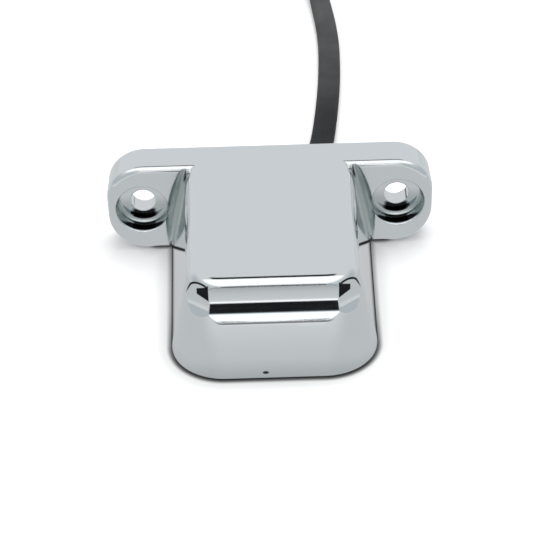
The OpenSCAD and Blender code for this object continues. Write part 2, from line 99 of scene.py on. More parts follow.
def flat_lead(name, points):
    """A mesh swept along points (x, y, z, turn), with the flat lead's section: a shallow groove in each side."""
    groove_half, groove_depth = 0.7, 0.16
    section = []
    for sign, start in ((1, 0), (-1, 180)):
        for a in np.linspace(-90, 90, 13)[:-1] + start:
            x = sign * (lead_w - lead_t) / 2 + lead_t / 2 * math.cos(math.radians(a))
            section.append((x, lead_t / 2 * math.sin(math.radians(a))))
        for g in (0.7, 0.35, 0.0, -0.35, -0.7):
            dip = groove_depth * (1 - abs(g) / groove_half) ** 1.5
            section.append((sign * g, sign * (lead_t / 2 - dip)))
    profile = bpy.data.curves.new("profile", "CURVE")
    profile.dimensions = "2D"
    spline = profile.splines.new("POLY")
    spline.points.add(len(section) - 1)
    for p, (x, y) in zip(spline.points, section):
        p.co = (x * MM, y * MM, 0, 1)
    spline.use_cyclic_u = True
    profile_object = bpy.data.objects.new("profile", profile)
    bpy.context.scene.collection.objects.link(profile_object)
    curve = bpy.data.curves.new(name, "CURVE")
    curve.dimensions = "3D"
    curve.twist_mode = "Z_UP"
    curve.bevel_mode = "OBJECT"
    curve.bevel_object = profile_object
    curve.use_fill_caps = True
    spline = curve.splines.new("POLY")
    spline.points.add(len(points) - 1)
    for p, (x, y, z, turn) in zip(spline.points, points):
        p.co = (x * MM, y * MM, z * MM, 1)
        p.tilt = math.radians(turn)
    temporary = bpy.data.objects.new(name, curve)
    bpy.context.scene.collection.objects.link(temporary)
    bpy.context.view_layer.update()
    mesh = bpy.data.meshes.new_from_object(temporary.evaluated_get(bpy.context.evaluated_depsgraph_get()))
    bpy.data.objects.remove(temporary)
    bpy.data.objects.remove(profile_object)
    mesh.name = name
    for polygon in mesh.polygons:
        polygon.use_smooth = len(polygon.vertices) < 5
    return mesh


class Value:
    """Shader maths: a wrapped socket that Python's operators join to more math nodes."""

    def __init__(self, tree, socket):
        self.tree, self.socket = tree, socket

    @staticmethod
    def node(tree, kind, settings=None, sockets=None):
        """A new node with its settings, and then a value or a link in each of its sockets that is given."""
        node = tree.nodes.new(kind)
        for key, x in (settings or {}).items():
            setattr(node, key, x)
        for key, x in (sockets or {}).items():
            if isinstance(x, Value):
                tree.links.new(x.socket, node.inputs[key])
            elif isinstance(x, bpy.types.NodeSocket):
                tree.links.new(x, node.inputs[key])
            else:
                node.inputs[key].default_value = x
        return node

    def math(self, operation, *others):
        sockets = dict(enumerate((self,) + others))
        return Value(self.tree, Value.node(self.tree, "ShaderNodeMath", {"operation": operation}, sockets).outputs[0])

    def __add__(self, other):
        return self.math("ADD", other)

    def __sub__(self, other):
        return self.math("SUBTRACT", other)

    def __mul__(self, other):
        return self.math("MULTIPLY", other)

    def __rsub__(self, other):
        return (self * -1.0).math("ADD", other)

    __radd__, __rmul__ = __add__, __mul__

    def step(self, low, high):
        """0 below low and 1 above high, with a smooth rise between them."""
        sockets = {"Value": self, "From Min": low, "From Max": high}
        node = Value.node(self.tree, "ShaderNodeMapRange", {"interpolation_type": "SMOOTHSTEP"}, sockets)
        return Value(self.tree, node.outputs["Result"])

    def between(self, a, b, c, d):
        """1 between b and c, and 0 below a and above d."""
        return self.step(a, b) * (1.0 - self.step(c, d))

    def mix(self, a, b):
        """Colour a where this is 0 and b where it is 1."""
        a, b = (x if isinstance(x, Value) else (*x, 1) for x in (a, b))
        node = Value.node(self.tree, "ShaderNodeMix", {"data_type": "RGBA"}, {0: self, 6: a, 7: b})
        return Value(self.tree, node.outputs[2])


def shader(name, color=None, metallic=0.0, roughness=0.5, **sockets):
    """A new material with one Principled shader, and that shader."""
    material = bpy.data.materials.new(name)
    material.use_nodes = True
    node = material.node_tree.nodes["Principled BSDF"]
    if color:
        node.inputs["Base Color"].default_value = (*color, 1)
    node.inputs["Metallic"].default_value = metallic
    node.inputs["Roughness"].default_value = roughness
    for key, x in sockets.items():
        node.inputs[key.replace("_", " ")].default_value = x
    return material, node


def coordinates(material):
    """The piece's own coordinates, in millimetres."""
    tree = material.node_tree
    coords = Value.node(tree, "ShaderNodeTexCoord").outputs["Object"]
    separate = Value.node(tree, "ShaderNodeSeparateXYZ", sockets={0: coords})
    return [Value(tree, separate.outputs[k]) * 1000 for k in "XYZ"]


def noise(material, scale, detail=3.0, roughness=0.5, stretch=(1, 1, 1)):
    """Noise in the piece's own coordinates."""
    tree = material.node_tree
    coords = Value.node(tree, "ShaderNodeTexCoord").outputs["Object"]
    mapping = Value.node(tree, "ShaderNodeMapping", sockets={"Vector": coords, "Scale": stretch})
    sockets = {"Vector": mapping.outputs["Vector"], "Scale": scale, "Detail": detail, "Roughness": roughness}
    return Value(tree, Value.node(tree, "ShaderNodeTexNoise", sockets=sockets).outputs["Fac"])


def feed(value, node, socket):
    """Links a value that changes over the surface into a socket."""
    value.tree.links.new(value.socket, node.inputs[socket])


def relief(node, height, strength, distance, over=None):
    """Small relief on a shader from a height value, over another normal if one is given."""
    sockets = {"Strength": strength, "Distance": distance, "Height": height}
    if over:
        sockets["Normal"] = over
    bump = Value.node(height.tree, "ShaderNodeBump", sockets=sockets)
    height.tree.links.new(bump.outputs["Normal"], node.inputs["Normal"])


def piece(name, mesh, material, slot, *nodes):
    """Links a finished mesh as a piece on the body, in place of the CAD nodes that are named."""
    obj = bpy.data.objects.new(name, mesh)
    bpy.context.scene.collection.objects.link(obj)
    obj.data.materials.clear()
    obj.data.materials.append(material)
    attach(obj, "root")
    if nodes:
        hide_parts(*nodes)
    return obj


# the sheath is matt black plastic; along a stretch towards the coil its colour is painted paler, a painted sheen
sheath, sheath_node = shader("lead_sheath", (0.010, 0.0105, 0.0115), roughness=0.6, Specular_IOR_Level=0.12)
grain, rub = noise(sheath, 900, 4), noise(sheath, 120, 3)
painted_sheen = coordinates(sheath)[1].between(20, 85, 100, 115)
plain_sheath_colour = rub.step(0.3, 0.75).mix((0.008, 0.0085, 0.0095), (0.016, 0.0165, 0.018))
sheen_colour = rub.step(0.3, 0.75).mix((0.05, 0.051, 0.052), (0.075, 0.076, 0.077))
feed(painted_sheen.mix(plain_sheath_colour, sheen_colour), sheath_node, "Base Color")
feed(rub * 0.15 + grain * 0.1 + 0.48, sheath_node, "Roughness")
relief(sheath_node, grain, 0.25, 0.0001)
lead = piece("lead_free", flat_lead("lead_free", fine), sheath, "sheath", "lead", "lead_coil")
(fine[:, :3] * MM).tolist()
inner = [(lead_x, y, lead_z, 0) for y in np.linspace(-17, 0, 6)]
piece("lead_inside", flat_lead("lead_inside", inner), sheath, "sheath")

# Housing: one zinc die-casting with drafted walls, polished and plated with bright chrome
# Two screws through its ears would hold it, and the lead leaves through its flat back
# Its forms are spun and extruded as the CAD ones are, only finer, and then joined and cut
body_h, body_depth, corner_x, corner_r, top_r = 19.5, 48.7, 9.0, 10.3, 3.5
wall_draft, side_splay = math.radians(12), math.radians(1.7)
base_z, top_z = -body_h / 2, body_h / 2
corner_y = corner_r - body_depth
slope = math.tan(wall_draft)


def outline(points, closed=False):
    """A new mesh that starts as one chain of points."""
    work = bmesh.new()
    verts = [work.verts.new(p) for p in points]
    for a, b in zip(verts, verts[1:] + verts[:1] if closed else verts[1:]):
        work.edges.new((a, b))
    return work


def arc(centre, radius, start, end, steps):
    """Points of an arc in a section, from one direction in degrees to another."""
    angles = (math.radians(start + (end - start) * i / steps) for i in range(steps + 1))
    return [(centre[0] + radius * math.cos(t), centre[1] + radius * math.sin(t)) for t in angles]


def open_edges(work):
    return [e for e in work.edges if len(e.link_faces) < 2]


def drawn_out(work, edges, move):
    """The edges extruded into new faces, their far side moved by a function of its place."""
    made = bmesh.ops.extrude_edge_only(work, edges=edges)["geom"]
    for v in (g for g in made if isinstance(g, bmesh.types.BMVert)):
        v.co = move(v.co)
    return [g for g in made if isinstance(g, bmesh.types.BMEdge)]


def spun_corner(work, centre, axis, angle):
    """The outline spun part of the way round a corner, and the edges at its far end."""
    made = bmesh.ops.spin(
        work, geom=work.verts[:] + work.edges[:], cent=centre, axis=axis, dvec=(0, 0, 0),
        angle=angle, steps=48, use_merge=False, use_normal_flip=False, use_duplicate=False,
    )["geom_last"]
    return [g for g in made if isinstance(g, bmesh.types.BMEdge)]


def mirrored(work, axis):
    bmesh.ops.mirror(work, geom=work.verts[:] + work.edges[:] + work.faces[:], axis=axis, merge_dist=1e-4)


def solid(name, work, spot=Matrix()):
    """The mesh closed, turned right way out, scaled to metres and made an object."""
    bmesh.ops.remove_doubles(work, verts=work.verts, dist=1e-4)
    bmesh.ops.holes_fill(work, edges=open_edges(work), sides=0)
    bmesh.ops.recalc_face_normals(work, faces=work.faces)
    bmesh.ops.transform(work, verts=work.verts, matrix=Matrix.Scale(MM, 4) @ spot)
    mesh = bpy.data.meshes.new(name)
    work.to_mesh(mesh)
    work.free()
    obj = bpy.data.objects.new(name, mesh)
    bpy.context.scene.collection.objects.link(obj)
    return obj


# the nose: half its wall is spun round a front corner, drawn to the middle and back along the splayed side
foot_r, tuck = 0.35, 3
flat_reach = corner_r - body_h * slope - top_r * math.tan((math.pi / 2 - wall_draft) / 2)
foot_out = corner_r - foot_r * (1 + math.sin(wall_draft)) / math.cos(wall_draft)
wall = arc((foot_out, base_z + foot_r), foot_r, -90, 12, 8)
wall += arc((flat_reach, top_z - top_r), top_r, 12, 90, 26)
work = outline([(corner_x, corner_y - out, z) for out, z in wall])
front = list(work.edges)
far_edges = spun_corner(work, (corner_x, corner_y, 0), (0, 0, 1), math.pi / 2 - side_splay)
run = Vector((math.sin(side_splay), math.cos(side_splay), 0)) * (-corner_y - tuck) / math.cos(side_splay)
drawn_out(work, far_edges, lambda p: p + run)
drawn_out(work, front, lambda p: Vector((0, p.y, p.z)))
mirrored(work, "X")
back_edges = [e for e in work.edges if len(e.link_faces) == 1 and all(abs(v.co.y + tuck) < 0.2 for v in e.verts)]
bmesh.ops.bridge_loops(work, edges=back_edges)
nose = solid("nose", work)

# the step across its front: an upright wall with a hollow foot, whose ends turn back at each side
step_y, step_half, step_turn, foot_z, scoop_r, past = -44.6, 11.4, math.radians(38), 6.55, 8.0, 20
section = [(past, foot_z - scoop_r), (past, past), (0, past)] + arc((scoop_r, foot_z), scoop_r, 180, 270, 60)
mitre = math.tan(step_turn / 2)
work = outline([(step_half + d * mitre, step_y - d, z) for d, z in section], closed=True)
first = list(work.edges)
turned = Vector((math.cos(step_turn), math.sin(step_turn), 0)) * 30
drawn_out(work, first, lambda p: p + turned)
other = drawn_out(work, first, lambda p: Vector((-p.x, p.y, p.z)))
left_edges = [e for e in other if all(v.co.x < 0 for v in e.verts)]
drawn_out(work, left_edges, lambda p: p + Vector((-turned.x, turned.y, 0)))
step = solid("step", work)

# the flange with both ears: its rim is spun round one corner, drawn to the middles and mirrored
ear_span, ear_t, ear_corner_r, ear_edge_r = 64.7, 7.1, 7.75, 1.5
ear_x, ear_z = ear_span / 2 - ear_corner_r, body_h / 2 - ear_corner_r
rim = [(ear_corner_r, 0)] + arc((ear_corner_r - ear_edge_r, ear_t - ear_edge_r), ear_edge_r, 0, 90, 16)
work = outline([(ear_x + out, -y, ear_z) for out, y in rim])
first = list(work.edges)
far_edges = spun_corner(work, (ear_x, 0, ear_z), (0, -1, 0), math.pi / 2)
drawn_out(work, far_edges, lambda p: Vector((0, p.y, p.z)))
drawn_out(work, first, lambda p: Vector((p.x, p.y, 0)))
mirrored(work, "X")
mirrored(work, "Z")
flange = solid("flange", work)


def turned_solid(name, section, spot, steps=96):
    """A section of (radius, height) points spun all the way round."""
    work = outline([(r, 0, z) for r, z in section])
    bmesh.ops.spin(
        work, geom=work.verts[:] + work.edges[:], cent=(0, 0, 0), axis=(0, 0, 1), dvec=(0, 0, 0),
        angle=2 * math.pi, steps=steps, use_merge=True, use_normal_flip=False, use_duplicate=False,
    )
    return solid(name, work, spot)


def drum(name, radius, low, high, spot):
    """A plain round bar or bore."""
    return turned_solid(name, [(0, low), (radius, low), (radius, high), (0, high)], spot)


def rounded_block(name, width, depth, radius, low, high, centre_y):
    """An upright block with rounded corners."""
    work = bmesh.new()
    bmesh.ops.create_cube(work, size=1)
    bmesh.ops.scale(work, vec=(width, depth, high - low), verts=work.verts)
    corners = [e for e in work.edges if abs(e.verts[0].co.z - e.verts[1].co.z) > 0.1]
    bmesh.ops.bevel(
        work, geom=corners, offset=radius, offset_type="OFFSET", segments=16, profile=0.5, affect="EDGES",
        material=-1,
    )
    return solid(name, work, Matrix.Translation((0, centre_y, (low + high) / 2)))


# the cuts: a hollow along each root, and a recess and hole in each ear
hollow_half, hollow_r, hollow_out, hollow_z = 8.4, 1.9, 0.5, 1.0
hollow_d = hollow_r - hollow_out * math.sqrt(2)
hollow_arc = (hollow_half ** 2 + hollow_d ** 2) / (2 * hollow_d)
hollow_y = -ear_t - hollow_out
side_x = corner_x + (corner_r + (hollow_y - corner_y) * math.sin(side_splay)) / math.cos(side_splay)
hollow_x = side_x - (hollow_z - base_z) * slope + hollow_out / math.cos(wall_draft)
reach = hollow_half + hollow_out
barrel = [
    (hollow_r - hollow_arc + math.sqrt(hollow_arc ** 2 - h ** 2), h) for h in np.linspace(-reach, reach, 60)
]
hole_x, hole_r, recess_depth, fillet_r, recess_r, rim_r = 25.4, 2.5, 3.4, 0.9, 5.2, 0.35
floor_y = ear_t - recess_depth
recess = [(0, floor_y)] + arc((recess_r - fillet_r, floor_y + fillet_r), fillet_r, -90, 0, 16)
recess += arc((recess_r + rim_r, ear_t - rim_r), rim_r, 180, 90, 8) + [(recess_r + rim_r, past), (0, past)]
cuts = [step]
for sign in (-1, 1):
    lean = Matrix.Rotation(-sign * math.atan(slope / math.cos(side_splay)), 4, "Y")
    cuts.append(turned_solid("hollow", barrel, Matrix.Translation((sign * hollow_x, hollow_y, hollow_z)) @ lean))
    face = Matrix.Translation((sign * hole_x, 0, 0)) @ Matrix.Rotation(math.pi / 2, 4, "X")
    cuts.append(turned_solid("recess", recess, face, 128))
    cuts.append(drum("screw_hole", hole_r, -1, 6, face))

# the lens's seat with the cavity over it, the lead's stepped hole, and two bosses for the board's screws
lens_y, lens_top, under_board, board_t = -28.3, -7.55, 3.2, 1.6
lead_rise, grommet_r, roof_gap = 0.5, 3.6, 0.4
head_r, head_depth, hole_depth = 5.1, 1.7, 15.9
seat_top = lens_top + 0.8
board_top = seat_top + under_board + board_t
cavity_w, cavity_d = 25.8, 26.8
cavity_top = board_top + lead_rise + lead_t / 2 + grommet_r + roof_gap
cuts.append(rounded_block("seat", 29.3, 30.3, 5.15, base_z - 1, seat_top, lens_y))
cuts.append(rounded_block("cavity", cavity_w, cavity_d, 3.4, base_z, cavity_top, lens_y))
lead_hole = Matrix.Translation((lead_x, 0, lead_z)) @ Matrix.Rotation(math.pi / 2, 4, "X")
stepped = [
    (0, -1), (head_r, -1), (head_r, head_depth), (grommet_r, head_depth), (grommet_r, hole_depth), (0, hole_depth),
]
cuts.append(turned_solid("grommet_hole", stepped, lead_hole))
bosses, boss_holes, boss_x, boss_y = [], [], cavity_w / 2 - 3.6, lens_y - cavity_d / 2 + 4.4
for sign in (-1, 1):
    spot = Matrix.Translation((sign * boss_x, boss_y, 0))
    bosses.append(drum("boss", 2.4, board_top, cavity_top + 1, spot))
    boss_holes.append(drum("boss_hole", 1.0, 0, board_top + 4.6, spot))

joints = [(flange, "UNION")] + [(cut, "DIFFERENCE") for cut in cuts]
joints += [(boss, "UNION") for boss in bosses] + [(hole, "DIFFERENCE") for hole in boss_holes]
for tool, operation in joints:
    joint = nose.modifiers.new(tool.name, "BOOLEAN")
    joint.operation, joint.object, joint.solver = operation, tool, "MANIFOLD"
bpy.context.view_layer.update()
mesh = bpy.data.meshes.new_from_object(nose.evaluated_get(bpy.context.evaluated_depsgraph_get()))
for tool in [nose, flange] + cuts + bosses + boss_holes:
    bpy.data.objects.remove(tool)
mesh.name = "housing_shell"
work = bmesh.new()
work.from_mesh(mesh)
bmesh.ops.remove_doubles(work, verts=work.verts, dist=1e-6)
bmesh.ops.dissolve_degenerate(work, edges=work.edges, dist=1e-6)
for e in work.edges:
    e.smooth = len(e.link_faces) == 2 and e.calc_face_angle(0) < math.radians(16)
for f in work.faces:
    f.smooth = True
work.to_mesh(mesh)
work.free()

# the chrome's plain colour is the plating's own, and a small dark spot is set at the foot of its front face
chrome, chrome_node = shader("chrome", metallic=1.0)
across, along, up = coordinates(chrome)
side = across.math("ABSOLUTE")
bright = (0.80, 0.83, 0.84)


def length(a, b):
    return (a * a + b * b).math("SQRT")


# Painted reflections: from here to the dark spot, the masks aren't plating
# They imitate what the chrome mirrors in the photograph, they are fixed to the object, and they look wrong
# from other sides, so a cleaner model leaves them out and keeps the bright colour with the dark spot
# in the screw recesses, a painted dark reflection deep inside, apart from the bright rounding at the floor's edge
off_axis = side - hole_x
radius = length(off_axis, up)
deep = radius.between(2.53, 2.6, 5.22, 5.3) * along.step(-7.0, -6.4)
below = 1.0 - up.step(-2.3, -1.7)
middle = 1.0 - off_axis.math("ABSOLUTE").step(1.9, 2.7)
ring = radius.between(4.35, 4.5, 5.02, 5.14)
finish = (deep * (1.0 - up.step(-1.5, 1.5))).mix(bright, (0.56, 0.60, 0.60))
finish = (deep * below * middle * (1.0 - ring)).mix(finish, (0.015, 0.017, 0.018))
# in the hollows at the roots, a painted reflection: a dark green-grey beside the nose with a pale streak and a dark
# outer edge
axis_x = up * (-slope / math.cos(side_splay)) + (hollow_x + hollow_z * slope / math.cos(side_splay))
far = side - axis_x
lift = up - hollow_z
barrel_r = (lift * lift) * (-0.5 / hollow_arc) + hollow_r
hollow = (1.0 - (length(far, along - hollow_y) - barrel_r).step(0.04, 0.12)) * side.between(16, 16.5, 24, 24.5)
pale_reflection = far.between(-0.1, 0.35, 1.1, 1.4) * up.between(-5, -3.5, 1.5, 5)
tone = far.step(-0.5, 0.3).mix((0.46, 0.53, 0.52), bright)
tone = pale_reflection.mix(tone, (0.96, 0.98, 0.98))
tone = ((1.0 - far.step(-0.5, -0.2)) * up.step(5.2, 6.4)).mix(tone, (0.05, 0.06, 0.06))
tone = (far.step(1.35, 1.6) * (1.0 - up.step(0, 2))).mix(tone, (0.04, 0.045, 0.045))
finish = hollow.mix(finish, tone)
# where the step's ends turn back, a painted dark reflection in the inner corner
turn_in = side - step_half
low_edge, high_edge = up - turn_in * 0.25, up + turn_in * 0.62
turned_end = turn_in.between(0.1, 0.2, 2.2, 2.35) * low_edge.step(5.1, 5.3) * (1.0 - high_edge.step(8.25, 8.45))
turned_end = turned_end * along.between(-45, -44.7, -42.4, -42)
finish = turned_end.mix(finish, (0.012, 0.013, 0.014))
# along the step's rounded edges, thin painted dark lines of reflection
behind = turn_in * math.sin(step_turn) - (along - step_y) * math.cos(step_turn)
edge_line = behind.between(-0.24, -0.2, -0.03, -0.02) * up.between(4.4, 6.4, 8.6, 8.9) * turn_in.step(0.3, 0.6)
scoop = length(along - (step_y - scoop_r), up - foot_z)
foot_line = scoop.between(scoop_r + 0.01, scoop_r + 0.03, scoop_r + 0.16, scoop_r + 0.22)
foot_line = foot_line * (1.0 - side.step(11, 12.4)) * (1.0 - along.step(-46.5, -46))
finish = (edge_line + foot_line).math("MINIMUM", 1.0).mix(finish, (0.03, 0.032, 0.034))
# on the step's upright wall, a painted reflection: a grey that deepens under the lip
upright = (1.0 - side.step(11.3, 11.6)) * along.between(-44.8, -44.75, -44.45, -44.4) * up.step(6.3, 9.2)
finish = upright.mix(finish, (0.48, 0.50, 0.51))

# a small dark spot at the foot of the front face, and faint clouding, pits and orange peel of the plating
nick = length((across + 1.8) * 0.5, up + 8.35).step(0.22, 0.34)
finish = ((1.0 - nick) * (1.0 - along.step(-48, -47.5))).mix(finish, (0.06, 0.06, 0.06))
feed(finish, chrome_node, "Base Color")
cloud = noise(chrome, 160, 3).step(0.35, 0.75)
feed(cloud * 0.035 + 0.035 + hollow * 0.3 + deep * ring * 0.2, chrome_node, "Roughness")
pits = 1.0 - noise(chrome, 700, 1).step(0.16, 0.24)
peel = noise(chrome, 420, 2) * 0.6 + noise(chrome, 90, 2) * 1.6 + pits * -1.5
bevel = Value.node(chrome.node_tree, "ShaderNodeBevel", {"samples": 6}, {"Radius": 0.3 * MM})
relief(chrome_node, peel, 0.35, 0.006 * MM, over=bevel.outputs["Normal"])
housing = piece("housing_shell", mesh, chrome, "chrome", "housing")
weighted = housing.modifiers.new("normals", "WEIGHTED_NORMAL")
weighted.keep_sharp = True
weighted.weight = 100

# Lens: a clear acrylic moulding, pressed into the housing's underside to light the number plate
# It has faint flow marks from the mould, and fine frosting that spreads the light
def dress(material, *nodes):
    """Puts a finish on CAD nodes that stay in the scene."""
    for node in nodes:
        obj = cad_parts[node]
        obj.data.materials.clear()
        obj.data.materials.append(material)


lens, node = shader("lens", (0.96, 0.975, 0.975), roughness=0.1, Transmission_Weight=1.0, IOR=1.49)
flow, frost = noise(lens, 60, 3, stretch=(1, 0.25, 1)), noise(lens, 1600, 2)
feed(flow * 0.06 + frost * 0.1 + 0.02, node, "Roughness")
relief(node, flow * 1.5 + frost * 0.4, 0.3, 0.00003)
dress(lens, "lens")

# Seal: a thin ring of black rubber, cut to the lens's outline
# It lies in the seat, and the lens is pressed against it to keep water out
seal, node = shader("seal", Specular_IOR_Level=0.3)
grain = noise(seal, 1400, 4)
feed(grain.step(0.2, 0.8).mix((0.012, 0.012, 0.013), (0.032, 0.032, 0.033)), node, "Base Color")
feed(grain * 0.25 + 0.6, node, "Roughness")
relief(node, grain, 0.4, 0.00005)
dress(seal, "lens_seal")

# Board: glass-fibre laminate under white solder mask, screwed to two bosses in the cavity
# Its copper runs show as faint raised bands, and the laminate shows yellowish at its rim
board, node = shader("board", Specular_IOR_Level=0.45)
x, y, z = coordinates(board)
weave = (x * 14).math("SINE") * (y * 14).math("SINE")
speck = noise(board, 2500, 3)
run_lines = x.math("ABSOLUTE").between(8.2, 8.35, 9.2, 9.35)
run_lines = run_lines + (y + 27.2).math("ABSOLUTE").between(2.3, 2.4, 3.2, 3.3)
run_lines = (run_lines + x.math("ABSOLUTE").between(1.3, 1.4, 2.2, 2.3)).math("MINIMUM", 1.0)
tone = speck.step(0.3, 0.7).mix((0.70, 0.71, 0.67), (0.80, 0.81, 0.78))
tone = run_lines.mix(tone, (0.84, 0.83, 0.74))
low, high = (v * 1000 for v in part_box("circuit_board"))
rim = 1.0 - z.between(low.z + 0.03, low.z + 0.06, high.z - 0.06, high.z - 0.03)
feed(rim.mix((0.62, 0.60, 0.42), tone), node, "Base Color")
feed(speck * 0.15 + run_lines * -0.08 + 0.38, node, "Roughness")
relief(node, run_lines * 1.0 + weave * 0.08 + speck * 0.1, 0.5, 0.00004)
dress(board, "circuit_board")

# Light-emitting diodes: white moulded packages with tinned ends, soldered under the board
# Each has a round window of yellow phosphor gel in its lower face
for name in ("led_1", "led_2", "led_3"):
    low, high = (v * 1000 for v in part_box(name))
    centre, half = (low + high) / 2, (high.x - low.x) / 2
    led, node = shader(name, Specular_IOR_Level=0.5)
    x, y, z = coordinates(led)
    out = length(x - centre.x, y - centre.y)
    window = (1.0 - out.step(0.98, 1.08)) * (1.0 - z.step(centre.z - 0.1, centre.z))
    grain = noise(led, 2600, 3)
    tone = grain.step(0.3, 0.7).mix((0.80, 0.80, 0.77), (0.88, 0.88, 0.86))
    ends = (x - centre.x).math("ABSOLUTE").step(half - 0.28, half - 0.22) * z.step(high.z - 0.5, high.z - 0.45)
    tone = ends.mix(tone, (0.62, 0.63, 0.64))
    gel = grain.step(0.2, 0.8).mix((0.88, 0.66, 0.10), (0.92, 0.76, 0.20))
    feed(window.mix(tone, gel), node, "Base Color")
    feed(ends * 0.9, node, "Metallic")
    feed(grain * 0.12 + window * -0.2 + 0.4, node, "Roughness")
    relief(node, grain, 0.25, 0.00002)
    dress(led, name)

# Resistors and protection diode: black bodies with tinned ends, soldered beside the light-emitting diodes
# The diode has a pale printed band at one end
for name, cap in (("resistor_1", 0.5), ("resistor_2", 0.5), ("diode", 0.35)):
    low, high = (v * 1000 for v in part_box(name))
    centre, span = (low + high) / 2, high - low
    chip, node = shader(name, Specular_IOR_Level=0.5)
    x, y, z = coordinates(chip)
    along_part, half = (x - centre.x, span.x / 2) if span.x > span.y else (y - centre.y, span.y / 2)
    grain = noise(chip, 3000, 3)
    ends = along_part.math("ABSOLUTE").step(half - cap - 0.03, half - cap + 0.03)
    tone = grain.step(0.25, 0.75).mix((0.010, 0.010, 0.011), (0.030, 0.030, 0.032))
    if name == "diode":
        ends = ends * z.step(high.z - 1.1, high.z - 1.0)
        band = along_part.between(half - 0.95, half - 0.9, half - 0.55, half - 0.5)
        tone = band.mix(tone, (0.45, 0.45, 0.44))
    feed(ends.mix(tone, (0.66, 0.67, 0.68)), node, "Base Color")
    feed(ends * 0.95, node, "Metallic")
    feed(grain * 0.2 + ends * -0.1 + 0.4, node, "Roughness")
    relief(node, grain, 0.35, 0.00002)
    dress(chip, name)

# Board screws: zinc-plated steel, driven through the board into the housing's bosses
# Their heads show fine rings from turning
for name in ("board_screw_1", "board_screw_2"):
    low, high = (v * 1000 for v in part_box(name))
    centre = (low + high) / 2
    screw, node = shader(name, metallic=1.0)
    x, y, z = coordinates(screw)
    rings = (length(x - centre.x, y - centre.y) * 70).math("SINE")
    grain = noise(screw, 1800, 3)
    feed(grain.step(0.2, 0.8).mix((0.50, 0.51, 0.52), (0.66, 0.67, 0.67)), node, "Base Color")
    feed(grain * 0.18 + 0.24, node, "Roughness")
    relief(node, rings * 0.3 + grain, 0.3, 0.00001)
    dress(screw, name)

# Cores: copper strands in soft plastic insulation, one black and one white, with faint rubbed streaks
# They run from the lead's inner end to the board, and show again where its far end is split
for name, dull, pale, cores in (
    ("core_dark", (0.012, 0.012, 0.013), (0.030, 0.030, 0.031), ("core_black", "core_end_black")),
    ("core_light", (0.66, 0.66, 0.62), (0.80, 0.80, 0.77), ("core_white", "core_end_white")),
):
    core, node = shader(name, Specular_IOR_Level=0.45)
    rub = noise(core, 700, 4)
    feed(rub.step(0.3, 0.7).mix(dull, pale), node, "Base Color")
    feed(rub * 0.25 + 0.35, node, "Roughness")
    relief(node, rub, 0.25, 0.00003)
    dress(core, *cores)

# Solder: bright tin, slightly grained where it cooled
# It holds the cores to the board and coats the bare strands at the lead's far end
solder, node = shader("solder", metallic=1.0)
grain = noise(solder, 1500, 4)
feed(grain.step(0.25, 0.75).mix((0.58, 0.59, 0.60), (0.76, 0.77, 0.77)), node, "Base Color")
feed(grain * 0.22 + 0.18, node, "Roughness")
relief(node, grain, 0.4, 0.00003)
dress(solder, "solder_joint_1", "solder_joint_2", "bare_tip_black", "bare_tip_white")

# Resin: black epoxy poured round the lead's end, which seals and holds it
# It set glossy, with small pits and a dusty bloom
resin, node = shader("resin", Specular_IOR_Level=0.5)
bloom, pits = noise(resin, 250, 3), noise(resin, 1500, 1)
feed(bloom.step(0.3, 0.8).mix((0.008, 0.008, 0.009), (0.030, 0.030, 0.032)), node, "Base Color")
feed(bloom * 0.3 + 0.12, node, "Roughness")
relief(node, bloom + pits.step(0.3, 0.4) * 0.5, 0.4, 0.00005)
dress(resin, "potting")

# Grommet: soft black rubber, matt and finely grained
# It is pushed into the stepped hole in the mounting face, round the lead
grommet, node = shader("grommet", Specular_IOR_Level=0.25)
grain = noise(grommet, 1100, 4)
feed(grain.step(0.2, 0.8).mix((0.010, 0.010, 0.011), (0.030, 0.030, 0.031)), node, "Base Color")
feed(grain * 0.2 + 0.62, node, "Roughness")
relief(node, grain, 0.45, 0.00006)
dress(grommet, "cable_grommet")

# Coil ties: black nylon straps with fine teeth across them
# Three of them are drawn round the coil of spare lead
tie, node = shader("tie", Specular_IOR_Level=0.5)
x, y, z = coordinates(tie)
teeth = ((z * 7).math("SINE") * 0.5 + 0.5).step(0.35, 0.65)
grain = noise(tie, 1300, 3)
feed(grain.step(0.2, 0.8).mix((0.012, 0.012, 0.013), (0.028, 0.028, 0.030)), node, "Base Color")
feed(grain * 0.2 + 0.35, node, "Roughness")
relief(node, teeth + grain * 0.3, 0.4, 0.00008)
dress(tie, "coil_tie_1", "coil_tie_2", "coil_tie_3")

# Studio table: pure white to the camera apart from the lamp's soft shadow, partly cast and partly painted, and open
# below the lamp
# The chrome mirrors something else: a glowing floor with painted grey, pale and near-black bands, as its reflections
# in the photograph suggest, so what it shows isn't a plain studio
table_half, table_drop = 3.0, 0.02
work = bmesh.new()
bmesh.ops.create_grid(work, x_segments=1, y_segments=1, size=table_half)
mesh = bpy.data.meshes.new("table")
work.to_mesh(mesh)
work.free()
mesh.transform(Matrix.Translation((0, 0, (table_z - table_drop) * MM)))
table = bpy.data.objects.new("table", mesh)
bpy.context.scene.collection.objects.link(table)
material = bpy.data.materials.new("table")
material.use_nodes = True
tree = material.node_tree
tree.nodes.clear()
position = Value.node(tree, "ShaderNodeNewGeometry")
separate = Value.node(tree, "ShaderNodeSeparateXYZ", sockets={0: position.outputs["Position"]})
side, depth = (Value(tree, separate.outputs[k]) * 1000 for k in "XY")
side = side.math("ABSOLUTE")


def outside(half_width, near_y, splay=0.0):
    """Distance outside a block's outline on the table, in millimetres."""
    over = (depth - near_y).math("MAXIMUM", 0.0) * splay
    dx = (side - over - half_width).math("MAXIMUM", 0.0)
    dy = ((depth - near_y / 2).math("ABSOLUTE") + near_y / 2).math("MAXIMUM", 0.0)
    return length(dx, dy)


